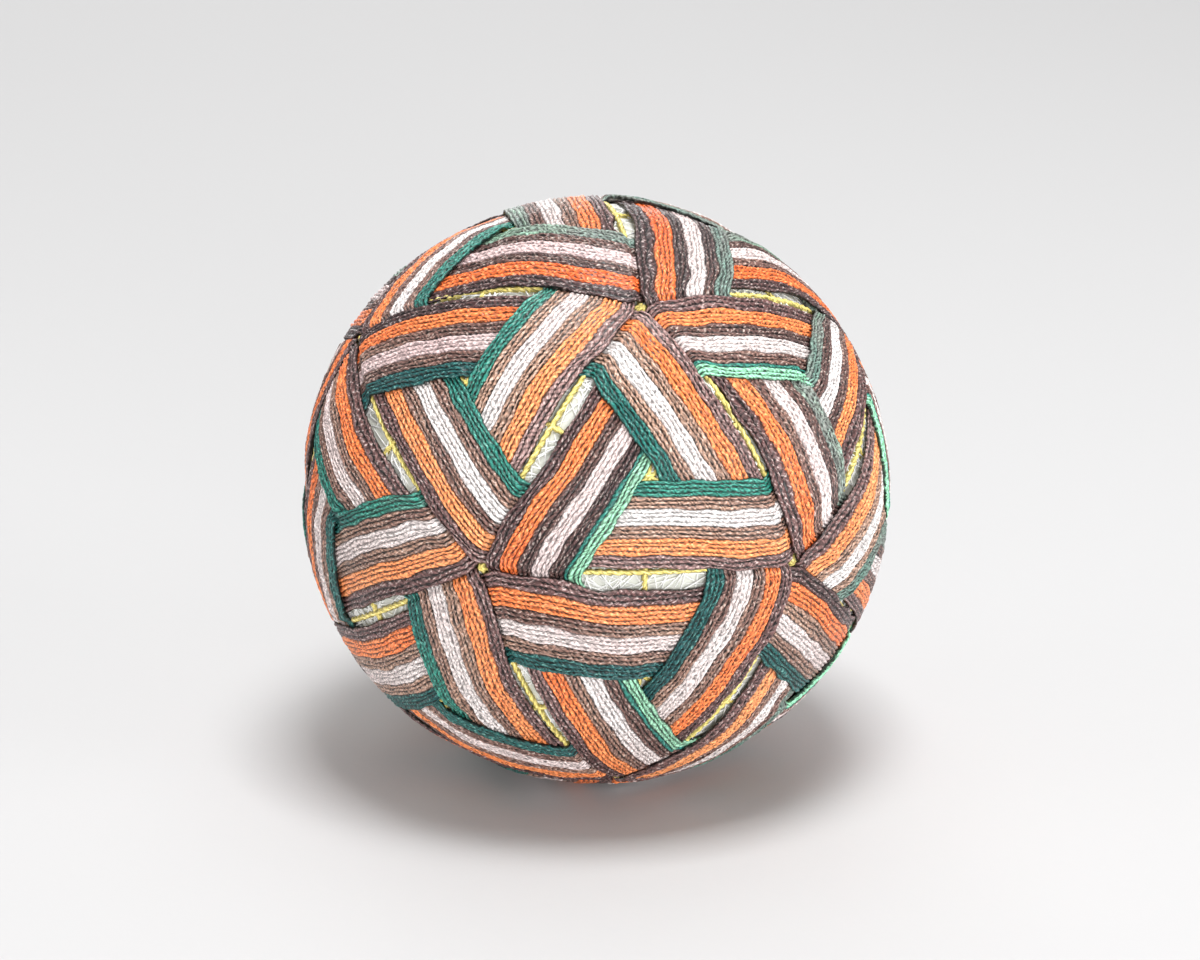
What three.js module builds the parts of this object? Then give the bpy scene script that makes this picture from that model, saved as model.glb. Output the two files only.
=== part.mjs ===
// Temari ball: a thread-wound core, its marking threads, and twelve interlaced pentagon bands.
// Frame: millimetres, +Z up, origin under the middle of the ball on the surface it rests on.
import * as THREE from "three";

// Layers of the ball, from the middle outward.
const BALL_RADIUS = 40;
const BAND_THICKNESS = 1.0;
const LAYER_GAP = 0.4;
const LIFT = BAND_THICKNESS + LAYER_GAP;
const MARI_RADIUS = BALL_RADIUS - 2 * LIFT;
const REST_HEIGHT = 38.5;
const PRESSED_LIFT = LIFT + 0.25;

// Directions are an azimuth from the front (-Y) toward +X, and an elevation, in degrees.
const CROWN_AZIMUTH = 16.0;
const CROWN_ELEVATION = 58.4;
const CROWN_TWIST = 28.7;
const FIVEFOLD_STEP = 72;
const POLE_SPACING = THREE.MathUtils.radToDeg(Math.atan(2));
const NEIGHBOUR_LIMIT = 80;

// The poles round the crown in turn, each with the name of the pole opposite it.
const RING = [
  { name: "front_right", opposite: "back_left" },
  { name: "right", opposite: "low_left" },
  { name: "top_back", opposite: "low_front" },
  { name: "left", opposite: "low_right" },
  { name: "front_left", opposite: "back_right" },
];

// Poles that were marked off their even places, in degrees.
const UNEVEN_POLES = [
  { name: "crown", azimuth: -1, elevation: -3.5 },
  { name: "front_right", azimuth: -1, elevation: 2 },
  { name: "left", azimuth: 1, elevation: 0.5 },
  { name: "low_front", azimuth: 4, elevation: -1 },
  { name: "low_left", azimuth: -1, elevation: 2.5 },
];

// A band's edges, as shares of the way from a neighbouring pole back to the band's own pole.
// An upper band's press on a lower one fades over this share of the open stretch between crossings.
const OUTER_SHARE = 0.027;
const INNER_SHARE = 0.3;
const CLEAR_SHARE = 0.005;
const PRESS_FADE = 0.5;
const ACROSS_STOPS = [0, 0.33, 0.67, 1];
const SIDE_STOPS = [0, 0.03, 0.14, 0.26, 0.37, 0.47, 0.53, 0.63, 0.74, 0.86, 0.97];

// A marking thread lies in the gap between two bands, clear of the corners at its ends.
const THREAD_DIAMETER = 0.6;
const THREAD_START = 0.316;
const THREAD_STEPS = 4;
const THREAD_SIDES = 6;

// The core is an even mesh of this many cells along a pole spacing.
const MARI_DETAIL = 7;

const FINISHES = {
  mari: { colour: 0xeef0e8, roughness: 0.9 },
  marking: { colour: 0xe9cf5e, roughness: 0.55 },
  band: { colour: 0x7a6355, roughness: 0.55 },
};

/** Unit vector along an azimuth and an elevation in degrees. */
function direction(azimuth, elevation) {
  const a = THREE.MathUtils.degToRad(azimuth);
  const e = THREE.MathUtils.degToRad(elevation);
  return new THREE.Vector3(Math.cos(e) * Math.sin(a), -Math.cos(e) * Math.cos(a), Math.sin(e));
}

/** Azimuth and elevation in degrees of a unit vector. */
function bearings(unit) {
  return {
    azimuth: THREE.MathUtils.radToDeg(Math.atan2(unit.x, -unit.y)),
    elevation: THREE.MathUtils.radToDeg(Math.asin(unit.z)),
  };
}

/** Point reached from a pole along a bearing (0 down, 90 to the right) over an angle in degrees. */
function walk(azimuth, elevation, bearing, angle) {
  const from = direction(azimuth, elevation);
  const down = direction(azimuth, elevation - 90);
  const right = direction(azimuth + 90, 0);
  const b = THREE.MathUtils.degToRad(bearing);
  const s = THREE.MathUtils.degToRad(angle);
  const along = down.multiplyScalar(Math.cos(b)).addScaledVector(right, Math.sin(b));
  return from.multiplyScalar(Math.cos(s)).addScaledVector(along, Math.sin(s));
}

/** Point a share of the way along the shortest arc between two unit vectors. */
function arc(from, to, share) {
  const angle = from.angleTo(to);
  const near = from.clone().multiplyScalar(Math.sin((1 - share) * angle));
  return near.addScaledVector(to, Math.sin(share * angle)).normalize();
}

/** Normal of the great circle through two unit vectors. */
function circleNormal(from, to) {
  return new THREE.Vector3().crossVectors(from, to).normalize();
}

/** Signed angle of a unit vector from the great circle with this normal. */
function fromCircle(unit, normal) {
  return Math.asin(THREE.MathUtils.clamp(unit.dot(normal), -1, 1));
}

/** Twelve poles: the crown, the ring round it and their opposites, with the uneven ones shifted. */
function markPoles() {
  const even = new Map();
  const crown = direction(CROWN_AZIMUTH, CROWN_ELEVATION);
  even.set("crown", crown);
  even.set("low_back", crown.clone().negate());
  RING.forEach((pole, turn) => {
    const bearing = CROWN_TWIST + FIVEFOLD_STEP * turn;
    const place = walk(CROWN_AZIMUTH, CROWN_ELEVATION, bearing, POLE_SPACING);
    even.set(pole.name, place);
    even.set(pole.opposite, place.clone().negate());
  });
  for (const shift of UNEVEN_POLES) {
    const place = bearings(even.get(shift.name));
    even.set(shift.name, direction(place.azimuth + shift.azimuth, place.elevation + shift.elevation));
  }
  return even;
}

/** The five poles nearest a pole, in counter-clockwise order seen from outside. */
function neighbours(pole, poles) {
  const limit = THREE.MathUtils.degToRad(NEIGHBOUR_LIMIT);
  const near = [...poles.values()].filter((other) => other !== pole && other.angleTo(pole) < limit);
  const across = near[0].clone().addScaledVector(pole, -near[0].dot(pole)).normalize();
  const up = new THREE.Vector3().crossVectors(pole, across);
  const turn = (other) => Math.atan2(other.dot(up), other.dot(across));
  return near.sort((a, b) => turn(a) - turn(b));
}

/** Rise from 0 to 1 with level ends. */
function ease(share) {
  return THREE.MathUtils.smoothstep(share, 0, 1);
}

/**
 * How a point of a band's side lies: its lift from 0 beneath a crossing band to 1 above one,
 * and how much of it another band covers.
 */
function weaveAt(point, side) {
  const outerStart = fromCircle(point, side.outerStart);
  const outerEnd = fromCircle(point, side.outerEnd);
  if (outerStart < 0) {
    const line = Math.max(fromCircle(point, side.lineStart), 0);
    const share = line / (line - outerStart);
    return { lift: 1 - ease(0.5 + 0.5 * share), cover: share };
  }
  if (outerEnd < 0) {
    const line = Math.max(fromCircle(point, side.lineEnd), 0);
    return { lift: ease(0.5 + 0.5 * line / (line - outerEnd)), cover: 0 };
  }
  const innerStart = Math.max(fromCircle(point, side.innerStart), 0);
  const innerEnd = Math.max(fromCircle(point, side.innerEnd), 0);
  const share = innerStart > 0 ? innerStart / (innerStart + innerEnd) : 0;
  return { lift: ease(share), cover: 1 - ease(share / PRESS_FADE) };
}

/** One side of a pentagon, with the edges of the two bands that cross it near its ends. */
function pentagonSide(pole, start, end) {
  const outer = OUTER_SHARE - CLEAR_SHARE;
  const inner = INNER_SHARE + CLEAR_SHARE;
  return {
    pole,
    start,
    end,
    lineStart: circleNormal(pole, start),
    lineEnd: circleNormal(end, pole),
    outerStart: circleNormal(arc(pole, end, outer), arc(start, end, outer)),
    innerStart: circleNormal(arc(pole, end, inner), arc(start, end, inner)),
    outerEnd: circleNormal(arc(end, start, outer), arc(pole, start, outer)),
    innerEnd: circleNormal(arc(end, start, inner), arc(pole, start, inner)),
  };
}

/** Radius at which a direction from the middle of the ball meets the floor. */
function floorReach(unit) {
  return unit.z < 0 ? REST_HEIGHT / -unit.z : Infinity;
}

/** Radius of the core along a direction, pressed in by both layers of bands above the floor. */
function mariRadius(unit) {
  return Math.min(MARI_RADIUS, floorReach(unit) - 2 * PRESSED_LIFT);
}

/** Point at a radius along a direction from the middle of the ball. */
function place(unit, radius) {
  return unit.clone().multiplyScalar(radius);
}

/** Section of a band at a share of the way along one side: over the top, then back underneath. */
function bandSection(side, along) {
  const top = [];
  const under = [];
  for (const across of ACROSS_STOPS) {
    const share = THREE.MathUtils.lerp(OUTER_SHARE, INNER_SHARE, across);
    const unit = arc(arc(side.start, side.pole, share), arc(side.end, side.pole, share), along);
    const { lift, cover } = weaveAt(unit, side);
    const free = MARI_RADIUS + LIFT * (1 + lift);
    const radius = Math.min(free, floorReach(unit) - PRESSED_LIFT * cover);
    top.push(place(unit, radius));
    under.push(place(unit, radius - BAND_THICKNESS));
  }
  return [...top, ...under.reverse()];
}

/** Six times the signed volume inside a mesh. */
function signedVolume(points, faces) {
  const normal = new THREE.Vector3();
  return faces.reduce((sum, [a, b, c]) => {
    return sum + points[a].dot(normal.crossVectors(points[b], points[c]));
  }, 0);
}

/** Geometry of a closed mesh with its faces turned outward. */
function closedGeometry(points, faces) {
  const outward = signedVolume(points, faces) > 0;
  const index = faces.flatMap(([a, b, c]) => (outward ? [a, b, c] : [a, c, b]));
  const geometry = new THREE.BufferGeometry();
  const flat = points.flatMap((point) => point.toArray());
  geometry.setAttribute("position", new THREE.Float32BufferAttribute(flat, 3));
  geometry.setIndex(index);
  geometry.computeVertexNormals();
  return geometry;
}

/** Two faces for each cell between neighbouring sections. */
function skin(sections, closed) {
  const count = sections[0].length;
  const spans = closed ? sections.length : sections.length - 1;
  const faces = [];
  for (let s = 0; s < spans; s += 1) {
    const here = s * count;
    const next = ((s + 1) % sections.length) * count;
    for (let k = 0; k < count; k += 1) {
      const m = (k + 1) % count;
      faces.push([here + k, next + k, next + m]);
      faces.push([here + k, next + m, here + m]);
    }
  }
  return faces;
}

/** A closed pentagon band round one pole. */
function bandGeometry(pole, poles) {
  const ring = neighbours(pole, poles);
  const sections = ring.flatMap((start, k) => {
    const side = pentagonSide(pole, start, ring[(k + 1) % ring.length]);
    return SIDE_STOPS.map((along) => bandSection(side, along));
  });
  return closedGeometry(sections.flat(), skin(sections, true));
}

/** A marking thread in the gap between two neighbouring poles, with flat ends. */
function markingGeometry(from, to) {
  const sideways = circleNormal(from, to);
  const radius = THREAD_DIAMETER / 2;
  const sections = [];
  for (let s = 0; s <= THREAD_STEPS; s += 1) {
    const unit = arc(from, to, THREE.MathUtils.lerp(THREAD_START, 1 - THREAD_START, s / THREAD_STEPS));
    const middle = place(unit, mariRadius(unit) + LAYER_GAP + radius);
    const section = [];
    for (let k = 0; k < THREAD_SIDES; k += 1) {
      const turn = (2 * Math.PI * k) / THREAD_SIDES;
      const point = middle.clone().addScaledVector(unit, radius * Math.sin(turn));
      section.push(point.addScaledVector(sideways, radius * Math.cos(turn)));
    }
    sections.push(section);
  }
  const faces = skin(sections, false);
  const last = THREAD_STEPS * THREAD_SIDES;
  for (let k = 1; k < THREAD_SIDES - 1; k += 1) {
    faces.push([0, k, k + 1]);
    faces.push([last, last + k + 1, last + k]);
  }
  return closedGeometry(sections.flat(), faces);
}

/** The wound core, pressed level underneath by what lies between it and the floor. */
function mariGeometry() {
  const raw = new THREE.IcosahedronGeometry(1, MARI_DETAIL).getAttribute("position");
  const points = [];
  const seen = new Map();
  const order = [];
  for (let k = 0; k < raw.count; k += 1) {
    const unit = new THREE.Vector3().fromBufferAttribute(raw, k).normalize();
    const key = unit.toArray().map((value) => value.toFixed(5)).join(" ");
    if (!seen.has(key)) {
      seen.set(key, points.length);
      points.push(place(unit, mariRadius(unit)));
    }
    order.push(seen.get(key));
  }
  const faces = [];
  for (let k = 0; k < order.length; k += 3) {
    faces.push(order.slice(k, k + 3));
  }
  return closedGeometry(points, faces);
}

/** A named mesh in one of the finishes. */
function piece(name, geometry, finish) {
  const { colour, roughness } = FINISHES[finish];
  const mesh = new THREE.Mesh(geometry, new THREE.MeshStandardMaterial({ color: colour, roughness }));
  mesh.name = name;
  return mesh;
}

/** A named group of pieces. */
function gathered(name, pieces) {
  const group = new THREE.Group();
  group.name = name;
  group.add(...pieces);
  return group;
}

/** The twelve bands. */
function allBands(poles) {
  return [...poles].map(([name, pole]) => piece(`band_${name}`, bandGeometry(pole, poles), "band"));
}

/** A marking thread for each pair of neighbouring poles. */
function allMarkings(poles) {
  const entries = [...poles];
  return entries.flatMap(([name, pole], k) => {
    const near = neighbours(pole, poles);
    const later = entries.slice(k + 1).filter(([, other]) => near.includes(other));
    return later.map(([end, other]) => {
      return piece(`marking_thread_${name}_to_${end}`, markingGeometry(pole, other), "marking");
    });
  });
}

/** The whole ball, raised so that its flat spot lies on the floor. */
function buildBall() {
  const poles = markPoles();
  const ball = gathered("wound_ball", [
    piece("mari", mariGeometry(), "mari"),
    gathered("marking_threads", allMarkings(poles)),
    gathered("bands", allBands(poles)),
  ]);
  ball.position.z = REST_HEIGHT;
  return gathered("temari_ball", [ball]);
}

export default buildBall();
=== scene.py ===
"""Temari ball: a white-wound core, yellow marking threads and twelve interlaced bands of pearl cotton."""
import logging
import math
from dataclasses import dataclass, field
from enum import Enum

import bpy
import numpy as np
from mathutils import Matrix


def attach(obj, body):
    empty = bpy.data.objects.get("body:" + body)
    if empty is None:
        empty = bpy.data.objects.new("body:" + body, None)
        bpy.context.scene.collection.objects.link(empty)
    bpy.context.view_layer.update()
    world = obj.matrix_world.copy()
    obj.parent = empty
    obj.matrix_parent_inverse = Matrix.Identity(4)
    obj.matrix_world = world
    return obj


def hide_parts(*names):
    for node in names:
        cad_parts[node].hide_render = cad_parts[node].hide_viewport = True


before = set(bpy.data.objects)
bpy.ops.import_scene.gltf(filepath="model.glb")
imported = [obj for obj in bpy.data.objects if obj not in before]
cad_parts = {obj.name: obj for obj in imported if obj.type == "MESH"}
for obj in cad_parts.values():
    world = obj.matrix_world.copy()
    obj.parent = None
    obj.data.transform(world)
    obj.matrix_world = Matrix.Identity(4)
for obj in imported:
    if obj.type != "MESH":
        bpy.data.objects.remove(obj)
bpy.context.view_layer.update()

LOG = logging.getLogger("temari_ball")
MM = 0.001
TURN = 2 * math.pi
SIDES = 5
# A row of a band has a column of points at its edge and two within it.
ROW_COLUMNS = 3
BODY = "root"
MATH = "ShaderNodeMath"
IMAGE_WIDTH = 1200
IMAGE_HEIGHT = 960
# Keeps a division from meeting zero.
TINY = 1e-9
# A direction that points down by less than this share never meets the floor.
LEAST_DOWN = 1e-4
# Brings the spread of a sum of chance cosines to about one.
WAVE_GAIN = 1.8


def hex_colour(code: str) -> tuple[float, float, float, float]:
    """Turn an sRGB hex value into a linear colour, by the standard's own curve.

    Args:
        code: six hex digits.

    Returns:
        Linear red, green, blue and an alpha of one.
    """
    parts = [int(code[k:k + 2], 16) / 255 for k in (0, 2, 4)]
    linear = [p / 12.92 if p <= 0.04045 else ((p + 0.055) / 1.055) ** 2.4 for p in parts]
    return (linear[0], linear[1], linear[2], 1.0)


def unit(vectors: np.ndarray) -> np.ndarray:
    """Scale vectors along the last axis to length one."""
    return vectors / np.linalg.norm(vectors, axis=-1, keepdims=True)


def direction(azimuth: float, elevation: float) -> np.ndarray:
    """Unit vector along an azimuth (0 at -Y, toward +X) and an elevation, both in degrees."""
    a, e = math.radians(azimuth), math.radians(elevation)
    return np.array([math.cos(e) * math.sin(a), -math.cos(e) * math.cos(a), math.sin(e)])


def arc(start: np.ndarray, end: np.ndarray, share: np.ndarray | float) -> np.ndarray:
    """Points a share of the way along the shortest arcs between unit vectors.

    Each point is start * sin((1 - share) * angle) + end * sin(share * angle), scaled to length one.

    Args:
        start: unit vectors, last axis of three.
        end: unit vectors that broadcast against start.
        share: share of the way, without the last axis.

    Returns:
        Unit vectors on the arcs.
    """
    angle = np.arccos(np.clip((start * end).sum(-1), -1, 1))[..., None]
    s = np.asarray(share)[..., None]
    return unit(start * np.sin((1 - s) * angle) + end * np.sin(s * angle))


def circle_normal(start: np.ndarray, end: np.ndarray) -> np.ndarray:
    """Normal of the great circle through two unit vectors."""
    return unit(np.cross(start, end))


def ease(share: np.ndarray | float) -> np.ndarray:
    """Rise from 0 to 1 with level ends: 3 s squared minus 2 s cubed."""
    s = np.clip(share, 0, 1)
    return s * s * (3 - 2 * s)


def grid_quads(steps: int, columns: int, loop: bool = True, ring: bool = True) -> np.ndarray:
    """Faces of a grid of points, numbered step after step.

    Each face runs from its point to the next step, on to the next column, and back.

    Args:
        steps: number of steps.
        columns: number of points in a step.
        loop: whether the last step joins the first.
        ring: whether the last column joins the first.

    Returns:
        Point numbers, steps by columns by four corners.
    """
    i, j = np.meshgrid(np.arange(steps - (not loop)), np.arange(columns - (not ring)), indexing="ij")
    ni, nj = (i + 1) % steps, (j + 1) % columns
    return np.stack([i * columns + j, ni * columns + j, ni * columns + nj, i * columns + nj], -1)


def step_corners(values: np.ndarray) -> np.ndarray:
    """Values of the steps, the first one again at the end, at the corners of grid faces."""
    return np.stack([values[:-1], values[1:], values[1:], values[:-1]], -1)


def column_corners(near: np.ndarray, far: np.ndarray) -> np.ndarray:
    """Values at each column's near and far side, at the corners of grid faces."""
    return np.stack([near, near, far, far], -1)


@dataclass(frozen=True)
class Waves:
    """Smooth uneven waves that close on themselves round a loop.

    Each wave is the sum of cosines with every whole number of cycles from fewest to most, of chance phase
    and size, scaled so that its spread is about the given size.
    """

    size: float
    fewest: int
    most: int

    def draw(self, rng: np.random.Generator, turn: np.ndarray, count: int) -> np.ndarray:
        """Draw separate waves.

        Args:
            rng: seeded source of chance.
            turn: place round the loop from 0 to 1.
            count: number of waves.

        Returns:
            Array of len(turn) by count.
        """
        cycles = np.arange(self.fewest, self.most + 1)
        phase = rng.uniform(0, TURN, (len(cycles), count))
        part = rng.uniform(0.5, 1, (len(cycles), count)) / np.sqrt(len(cycles))
        angle = TURN * turn[:, None, None] * cycles[None, :, None] + phase
        return (part * np.cos(angle)).sum(1) * WAVE_GAIN * self.size


class Stripe(Enum):
    """Colour stripes of a band, from its outer edge in toward its pole."""

    OUTER_BROWN = 0
    ORANGE = 1
    BROWN = 2
    WHITE = 3
    INNER_BROWN = 4
    GREEN = 5


@dataclass(frozen=True)
class BallSizes:
    """Layers of the ball in millimetres out from its middle, and how it rests."""

    rest_height: float = 38.5
    core_radius: float = 38.25
    low_row: float = 38.8
    high_row: float = 39.4
    pressed_core: float = 2.2

    def floor_reach(self, points: np.ndarray) -> np.ndarray:
        """Radius at which each direction meets the floor, very large where it points up."""
        return self.rest_height / np.maximum(-points[..., 2], LEAST_DOWN)

    def place(self, points: np.ndarray, radius: np.ndarray) -> np.ndarray:
        """Points in metres at a radius along unit vectors from the ball's middle."""
        return (points * radius[..., None] + np.array([0, 0, self.rest_height])) * MM


@dataclass(frozen=True)
class PoleShift:
    """A pole that was marked off its even place, in degrees."""

    name: str
    azimuth: float
    elevation: float


@dataclass
class PoleMap:
    """The twelve poles of the ball: a crown, five poles round it, and their opposites. Angles in degrees.

    Neighbouring poles are about 63 degrees apart and others at least 117, so near_degrees tells them apart.
    """

    crown_azimuth: float = 16.0
    crown_elevation: float = 58.4
    crown_twist: float = 28.7
    spacing: float = math.degrees(math.atan(2))
    near_degrees: float = 80.0
    ring: tuple[tuple[str, str], ...] = (
        ("front_right", "back_left"),
        ("right", "low_left"),
        ("top_back", "low_front"),
        ("left", "low_right"),
        ("front_left", "back_right"),
    )
    shifts: tuple[PoleShift, ...] = (
        PoleShift("crown", -1, -3.5),
        PoleShift("front_right", -1, 2),
        PoleShift("left", 1, 0.5),
        PoleShift("low_front", 4, -1),
        PoleShift("low_left", -1, 2.5),
    )
    places: dict[str, np.ndarray] = field(init=False)

    def __post_init__(self) -> None:
        """Mark the even poles, then move the uneven ones."""
        crown = direction(self.crown_azimuth, self.crown_elevation)
        down = direction(self.crown_azimuth, self.crown_elevation - 90)
        right = direction(self.crown_azimuth + 90, 0)
        reach = math.radians(self.spacing)
        self.places = {"crown": crown, "low_back": -crown}
        for turn, (name, opposite) in enumerate(self.ring):
            bearing = math.radians(self.crown_twist + 360 / SIDES * turn)
            along = down * math.cos(bearing) + right * math.sin(bearing)
            self.places[name] = crown * math.cos(reach) + along * math.sin(reach)
            self.places[opposite] = -self.places[name]
        for shift in self.shifts:
            x, y, z = self.places[shift.name]
            azimuth = math.degrees(math.atan2(x, -y)) + shift.azimuth
            elevation = math.degrees(math.asin(z)) + shift.elevation
            self.places[shift.name] = direction(azimuth, elevation)

    def ring_of(self, name: str) -> list[str]:
        """Find the five poles next to one.

        Args:
            name: the pole in the middle.

        Returns:
            Their names, counter-clockwise seen from outside.
        """
        pole = self.places[name]
        least = math.cos(math.radians(self.near_degrees))
        near = [k for k, p in self.places.items() if k != name and p @ pole > least]
        across = unit(self.places[near[0]] - pole * (self.places[near[0]] @ pole))
        up = np.cross(pole, across)
        return sorted(near, key=lambda k: math.atan2(self.places[k] @ up, self.places[k] @ across))

    def sides_of(self, name: str) -> list[tuple[str, str]]:
        """Poles at the start and the end of each side of the pentagon round one pole."""
        ring = self.ring_of(name)
        return list(zip(ring, ring[1:] + ring[:1]))

    def pairs(self) -> list[tuple[str, str]]:
        """Each pair of neighbouring poles once."""
        names = list(self.places)
        return [(a, b) for k, a in enumerate(names) for b in names[k + 1:] if b in self.ring_of(a)]

    def faces(self) -> list[tuple[str, str, str]]:
        """Each triangle of neighbouring poles once."""
        return sorted({tuple(sorted((a, b, c))) for a in self.places for b, c in self.sides_of(a)})


class Nodes:
    """The node tree of one material."""

    def __init__(self, name: str) -> None:
        """Start a material with only its output and shader.

        Args:
            name: name of the real material.
        """
        self.material = bpy.data.materials.new(name)
        self.material.use_nodes = True
        self.tree = self.material.node_tree
        self.shader = next(n for n in self.tree.nodes if n.type == "BSDF_PRINCIPLED")

    def add(self, kind: str, inputs: dict | None = None, **settings: object) -> bpy.types.Node:
        """Add a node with its settings, and set or link its inputs.

        Args:
            kind: Blender's name of the node.
            inputs: as for feed.
            settings: attributes of the node.

        Returns:
            The new node.
        """
        node = self.tree.nodes.new(kind)
        for key, value in settings.items():
            setattr(node, key, value)
        self.feed(node, inputs or {})
        return node

    def feed(self, node: bpy.types.Node, inputs: dict) -> None:
        """Set or link the inputs of a node.

        Args:
            node: the node to feed.
            inputs: input name or number to a constant, an output socket, or a node for its first output.
        """
        for key, value in inputs.items():
            if isinstance(value, bpy.types.Node):
                value = value.outputs[0]
            if isinstance(value, bpy.types.NodeSocket):
                self.tree.links.new(value, node.inputs[key])
            else:
                node.inputs[key].default_value = value


@dataclass(frozen=True)
class TwoPly:
    """A thread of two plies laid round each other, in millimetres."""

    ply_radius: float = 0.2
    ply_offset: float = 0.1
    pitch: float = 1.9
    groove: float = -0.08

    @property
    def crest(self) -> float:
        """Height of the thread's highest points above its middle."""
        return self.ply_radius + self.ply_offset

    def top(self, sideways: np.ndarray, phase: np.ndarray) -> np.ndarray:
        """Height of the thread's upper side.

        The plies' middles sit opposite each other at ply_offset, turned by phase, and the height is the
        higher of the two circles, or the groove where neither reaches.

        Args:
            sideways: distance from the thread's middle line.
            phase: turn of the plies.

        Returns:
            Heights above the thread's middle.
        """
        height = np.full(np.broadcast(sideways, phase).shape, self.groove)
        for sign in (1, -1):
            inside = self.ply_radius ** 2 - (sideways - sign * self.ply_offset * np.cos(phase)) ** 2
            arch = sign * self.ply_offset * np.sin(phase) + np.sqrt(np.maximum(inside, 0))
            height = np.where(inside > 0, np.maximum(height, arch), height)
        return height

    def outline(self, around: np.ndarray, phase: np.ndarray) -> np.ndarray:
        """Distance from the thread's middle to its surface.

        It is c |cos| + sqrt(r squared - c squared sin squared) of the angle between the direction and the
        plies, with c the offset and r the radius of a ply.

        Args:
            around: direction round the thread.
            phase: turn of the plies.

        Returns:
            Distances from the middle line.
        """
        angle = around - phase
        across = self.ply_radius ** 2 - (self.ply_offset * np.sin(angle)) ** 2
        return self.ply_offset * np.abs(np.cos(angle)) + np.sqrt(across)


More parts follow.
